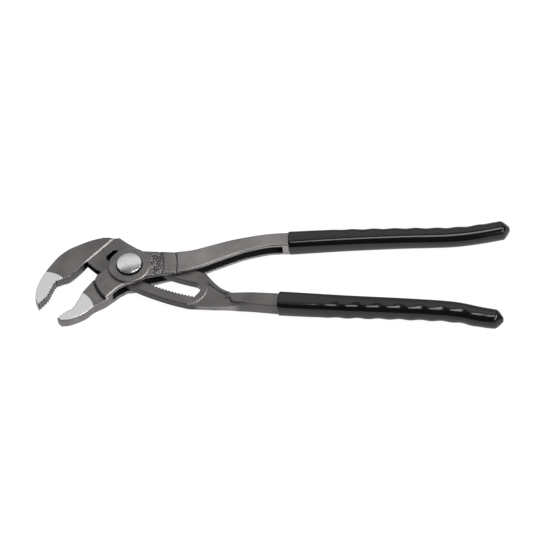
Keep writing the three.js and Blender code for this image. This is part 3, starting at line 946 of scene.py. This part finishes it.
def dipped_plastic(name):
    """Glossy black soft plastic, left a little uneven by the dip."""
    def recipe(place):
        waves = place.noise(60, 1)
        skin_grain = place.noise(900, 2)
        return {
            "Base Color": waves.slope(0.3, 0.7).blend(grey(0.001), grey(0.002)),
            "Roughness": 0.13 + 0.08 * skin_grain,
            "Normal": (waves + 0.03 * skin_grain).bump(0.0003, 0.5),
        }

    return finish(name, recipe, Metallic=0.0, IOR=1.45)


# Camera and studio

IMAGE_WIDTH = 540
PIXEL = 0.52
LENS = 400
TARGET = (74.2, -3.5, 11)
CAMERA_TURN = 11.8
CAMERA_HEIGHT = 53.14
CAMERA_ROLL = -9.48

# Floor, in metres, and the room: its tone, and where its pale wall begins and how bright it is
FLOOR_HALF = 4
FLOOR_GREY = 0.14
FLOOR_GLOW = 0.95
ROOM_TONE = 0.12
WALL_SLANT = 0.29
WALL_START = (0.36, 0.52)
WALL_RISE = (0.36, 0.74, 0.35, 1.06)

# Lights: height in degrees, width and depth in metres, radiance and distance
OVERHEAD_TURN = 2
OVERHEAD = (77.5, 0.24, 0.44, 7, 0.72)
SOFTBOX_TURNS = (8, -19, -45)
SOFTBOX = (31, 0.42, 0.24, 6, 0.9)


def camera():
    """A long lens at the photograph's angle: how far it is turned, raised and rolled."""
    turn, height = math.radians(CAMERA_TURN), math.radians(CAMERA_HEIGHT)
    back = Vector((math.sin(turn) * math.cos(height), -math.cos(turn) * math.cos(height), math.sin(height)))
    level = (-back).to_track_quat("-Z", "Y").to_matrix()
    data = bpy.data.cameras.new("camera")
    data.lens = LENS
    data.clip_end = 100
    rig = bpy.data.objects.new("camera", data)
    bpy.context.collection.objects.link(rig)
    distance = IMAGE_WIDTH * LENS / data.sensor_width * PIXEL
    rig.matrix_world = (level @ Matrix.Rotation(math.radians(CAMERA_ROLL), 3, "Z")).to_4x4()
    rig.location = (Vector(TARGET) + back * distance) * MM
    bpy.context.scene.camera = rig


def floor():
    """A plain white sweep under the pliers."""
    half = FLOOR_HALF
    corners = [(-half, -half, 0), (half, -half, 0), (half, half, 0), (-half, half, 0)]
    mesh = bpy.data.meshes.new("floor")
    mesh.from_pydata(corners, [], [(0, 1, 2, 3)])
    mesh.materials.append(finish("floor", lambda place: {}, Base_Color=grey(FLOOR_GREY), Roughness=0.8,
                                 Emission_Color=grey(1), Emission_Strength=FLOOR_GLOW))
    ground = bpy.data.objects.new("floor", mesh)
    bpy.context.collection.objects.link(ground)


def softbox(name, turn, height, width, depth, radiance, distance):
    """A soft light that faces the pliers: turned from +X towards +Y, and raised, in degrees."""
    turn, height = math.radians(turn), math.radians(height)
    out = Vector((math.cos(turn) * math.cos(height), math.sin(turn) * math.cos(height), math.sin(height)))
    data = bpy.data.lights.new(name, "AREA")
    data.shape = "RECTANGLE"
    data.size = width
    data.size_y = depth
    data.energy = radiance * math.pi * width * depth
    light = bpy.data.objects.new(name, data)
    light.location = Vector(TARGET) * MM + out * distance
    light.rotation_mode = "QUATERNION"
    light.rotation_quaternion = (-out).to_track_quat("-Z", "Y")
    light.visible_camera = False
    bpy.context.collection.objects.link(light)


def studio():
    """A dim room: a pale wall behind, a bright lamp overhead, and soft boxes from the right to the front."""
    world = bpy.data.worlds.new("studio")
    world.use_nodes = True
    bpy.context.scene.world = world
    place = Value(world.node_tree).node("ShaderNodeTexCoord", out=0)
    wall = (place.part(1) - WALL_SLANT * place.part(0)).slope(*WALL_START)
    tone = ROOM_TONE + wall * place.part(2).slope(*WALL_RISE)
    world.node_tree.links.new(tone.output, world.node_tree.nodes["Background"].inputs["Color"])
    softbox("overhead", OVERHEAD_TURN, *OVERHEAD)
    for number, turn in enumerate(SOFTBOX_TURNS):
        softbox(f"softbox_{number}", turn, *SOFTBOX)


camera()
floor()
studio()
bpy.context.scene.view_settings.view_transform = "Standard"

# Where the forgings are sampled: the start, then the end of each stretch and its spacing
outer_block = Block(
    x=(-37, (-14, 0.26), (28, 0.26), (84, 0.48), (184, 1.5)),
    y=(-36, (-21.5, 0.28), (10.5, 0.26), (28, 0.36)),
    z=(-0.6, (1.2, 0.2), (9.6, 0.4), (11.6, 0.2)),
)
inner_block = Block(
    x=(-49.5, (-22, 0.22), (44, 0.28), (81.5, 0.4), (188, 1.5)),
    y=(-36, (-27, 0.4), (4, 0.28), (21, 0.34)),
    z=(0.8, (10.2, 0.26)),
)
steel_of_outer = forged_steel("forged_steel_outer", LOWER_GROUND, OUTER_FACE_SHADING, OUTER_WALL_SHADING)
steel_of_inner = forged_steel("forged_steel_inner", UPPER_GROUND, INNER_FACE_SHADING, INNER_WALL_SHADING, INNER_THROAT_SHADE)
plastic = dipped_plastic("dipped_plastic")
bright = satin_steel("satin_steel", 0.61)
dull = satin_steel("satin_steel_inside", 0.5)
spring_steel = hardened_steel("hardened_steel")

make("outer_forging", *skin(outer_block, outer_arm_field(outer_block)), steel_of_outer, "outer_arm",
     "forged_steel", "outer_arm")
make("inner_forging", *skin(inner_block, inner_arm_field(inner_block)), steel_of_inner, "inner_arm",
     "forged_steel", "inner_arm")
make("upper_grip_sleeve", *grip_skin(UPPER_GRIP, UPPER_WIDTHS, 1, UPPER_FINGERS, 0), plastic, "outer_arm",
     "dipped_plastic", "upper_grip")
make("lower_grip_sleeve", *grip_skin(LOWER_GRIP, LOWER_WIDTHS, -1, LOWER_FINGERS, LOWER_ROLL), plastic,
     "inner_arm", "dipped_plastic", "lower_grip")
make("domed_button", *button_skin(), bright, "button", "satin_steel", "push_button")

# The spring fills the frame's spring box and rides whole on the button, with a mesh of its own
spring_low, spring_high = (np.array(end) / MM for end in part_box("return_spring"))
spring = make("coil_spring", *spring_skin(spring_low, spring_high), spring_steel, "button", "hardened_steel",
              "return_spring")
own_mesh(spring)

# The hidden pieces keep the frame's own solids
for node, material in (
    ("pivot_sleeve", dull), ("rear_plug", dull), ("locking_bolt", dull), ("retaining_ring", spring_steel),
):
    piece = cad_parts[node]
    piece.data.materials.clear()
    piece.data.materials.append(material)
